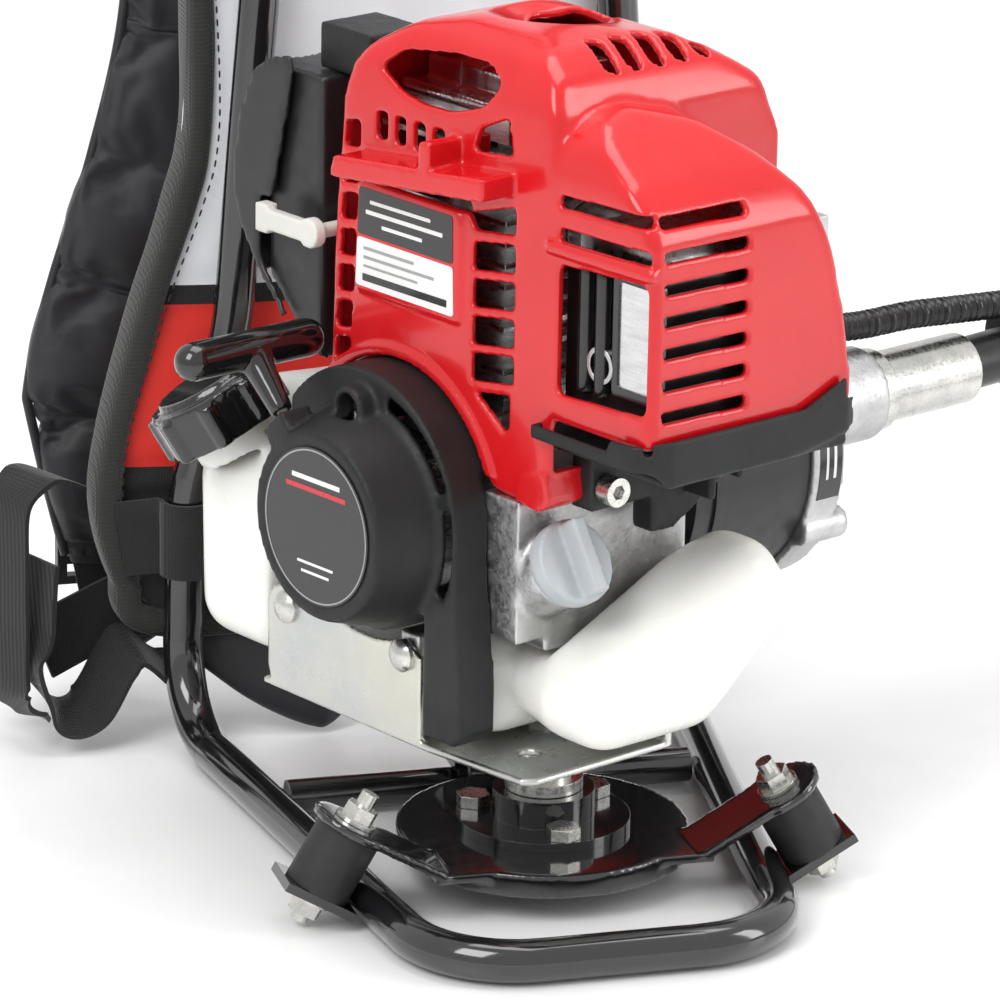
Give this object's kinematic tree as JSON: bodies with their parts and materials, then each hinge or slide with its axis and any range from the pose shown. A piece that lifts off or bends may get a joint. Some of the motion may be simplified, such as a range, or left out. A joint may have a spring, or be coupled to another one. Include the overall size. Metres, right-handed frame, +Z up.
{
  "type": "backpack concrete vibrator",
  "caption": "Backpack concrete vibrator: small four-stroke engine on a sprung turntable in a tube carrying frame, with harness, flexible drive hose, throttle grip and vibrating head.",
  "frame": {"origin": "on the ground under the turntable's swivel axis", "axes": "+Z up, +Y towards the wearer's back, +X to the right of the frame's front view"},
  "size_m": [0.76, 0.4679, 0.4771],
  "materials": {
    "black_paint": "glossy black powder coat",
    "rubber": "moulded rubber",
    "zinc": "zinc plated",
    "plated_steel": "passivated zinc sheet",
    "bronze": "sintered bronze",
    "pad_fabric": "coated cloth in white, red and black panels",
    "nylon": "woven nylon",
    "black_plastic": "textured",
    "gloss_black": "polished",
    "red_plastic": "moulded gloss",
    "cast_aluminium": "as cast",
    "sheet_steel": "drawn and turned steel",
    "heat_black": "heat resistant black",
    "tank_white": "translucent blow moulding",
    "filter_foam": "open foam",
    "porcelain": "glazed",
    "hose_rubber": "smooth rubber",
    "rope": "braided cord",
    "grey_plastic": "moulded",
    "switch_red": "moulded"
  },
  "bodies": {
    "frame": {"frame_tube": "black_paint", "cross_tube": "black_paint", "rubber_mounts": "rubber", "mount_studs": "zinc", "turntable_plate": "black_paint", "hub_flange": "black_paint", "hub_bolts": "zinc", "pivot_bush": "bronze", "back_pad": "pad_fabric", "lumbar_pad": "nylon", "shoulder_straps": "nylon", "strap_webbing": "nylon", "strap_buckles": "black_plastic", "tube_loops": "nylon"},
    "engine": {"pivot_post": "zinc", "engine_bracket": "plated_steel", "bracket_bolts": "zinc", "crankcase": "cast_aluminium", "cylinder": "cast_aluminium", "rocker_cover": "cast_aluminium", "top_cover": "red_plastic", "muffler": "sheet_steel", "heat_shield": "heat_black", "muffler_guard": "black_plastic", "recoil_housing": "black_plastic", "housing_screws": "zinc", "fuel_tank": "tank_white", "carburetor": "cast_aluminium", "air_cleaner_case": "black_plastic", "air_filter": "filter_foam", "air_cleaner_cover": "black_plastic", "spark_plug": "porcelain", "plug_cap": "black_plastic", "ignition_coil": "black_plastic", "drive_cover": "black_plastic", "clutch_housing": "cast_aluminium", "hose_ferrule": "zinc", "drive_hose": "hose_rubber", "throttle_conduit": "black_plastic", "head_tube": "sheet_steel", "head_tip": "sheet_steel", "grip_housing": "black_plastic", "flex_core": "sheet_steel"},
    "crank": {"crankshaft": "sheet_steel", "flywheel": "cast_aluminium", "clutch_shoes": "sheet_steel"},
    "cam": {"camshaft": "sheet_steel"},
    "drive": {"clutch_drum": "sheet_steel"},
    "rotor": {"head_rotor": "sheet_steel"},
    "piston": {"piston": "cast_aluminium", "connecting_rod": "cast_aluminium"},
    "starter_handle": {"starter_handle": "gloss_black", "starter_rope": "rope"},
    "reel": {"starter_reel": "black_plastic"},
    "fuel_cap": {"fuel_cap": "gloss_black"},
    "oil_cap": {"oil_cap": "grey_plastic"},
    "choke": {"choke_lever": "grey_plastic"},
    "throttle": {"throttle_lever": "black_plastic"},
    "stop": {"stop_switch": "switch_red"}
  },
  "joints": [
    {"name": "engine_swivel", "type": "hinge", "parent": "frame", "child": "engine", "pos_m": [0, 0, 0.03], "axis": [0, 0, 1], "range_deg": [-60, 10]},
    {"name": "crank_spin", "type": "hinge", "parent": "engine", "child": "crank", "pos_m": [-0.00824, 0.01767, 0.1315], "axis": [0.9063, 0.4226, 0], "continuous": true},
    {"name": "cam_spin", "type": "hinge", "parent": "engine", "child": "cam", "pos_m": [-0.00824, 0.01767, 0.254], "axis": [0.9063, 0.4226, 0], "continuous": true},
    {"name": "drive_spin", "type": "hinge", "parent": "engine", "child": "drive", "pos_m": [0.05973, 0.04937, 0.1315], "axis": [0.9063, 0.4226, 0], "continuous": true},
    {"name": "rotor_spin", "type": "hinge", "parent": "engine", "child": "rotor", "pos_m": [0.50281, -0.10813, 0.016], "axis": [-0.9063, -0.4226, 0], "continuous": true},
    {"name": "piston_travel", "type": "slide", "parent": "engine", "child": "piston", "axis": [0, 0, 1], "range_m": [-0.03, 0]},
    {"name": "starter_pull", "type": "slide", "parent": "engine", "child": "starter_handle", "axis": [-0.2988, 0.6409, 0.7071], "range_m": [0, 0.75]},
    {"name": "reel_spin", "type": "hinge", "parent": "engine", "child": "reel", "pos_m": [-0.07531, -0.0136, 0.1315], "axis": [0.9063, 0.4226, 0], "range_deg": [0, 1955]},
    {"name": "fuel_cap_turn", "type": "hinge", "parent": "engine", "child": "fuel_cap", "pos_m": [-0.09253, 0.06829, 0.142], "axis": [-0.4902, 0.1762, 0.8536], "range_deg": [0, 540]},
    {"name": "oil_cap_turn", "type": "hinge", "parent": "engine", "child": "oil_cap", "pos_m": [-0.01059, -0.06011, 0.128], "axis": [0.3584, -0.7686, 0.5299], "range_deg": [0, 720]},
    {"name": "choke_turn", "type": "hinge", "parent": "engine", "child": "choke", "pos_m": [-0.07279, 0.03778, 0.213], "axis": [0.9063, 0.4226, 0], "range_deg": [-50, 0]},
    {"name": "throttle_pull", "type": "hinge", "parent": "engine", "child": "throttle", "pos_m": [0.22196, 0.12502, 0.149], "axis": [-0.4226, 0.9063, 0], "range_deg": [0, 10]},
    {"name": "stop_press", "type": "slide", "parent": "engine", "child": "stop", "axis": [0, 0, 1], "range_m": [-0.002, 0]}
  ],
  "couplings": [
    {"joint": "cam_spin", "follows": "crank_spin", "ratio": 0.5},
    {"joint": "rotor_spin", "follows": "drive_spin", "ratio": 1},
    {"joint": "reel_spin", "follows": "starter_pull", "rad_per_m": 45.455}
  ]
}
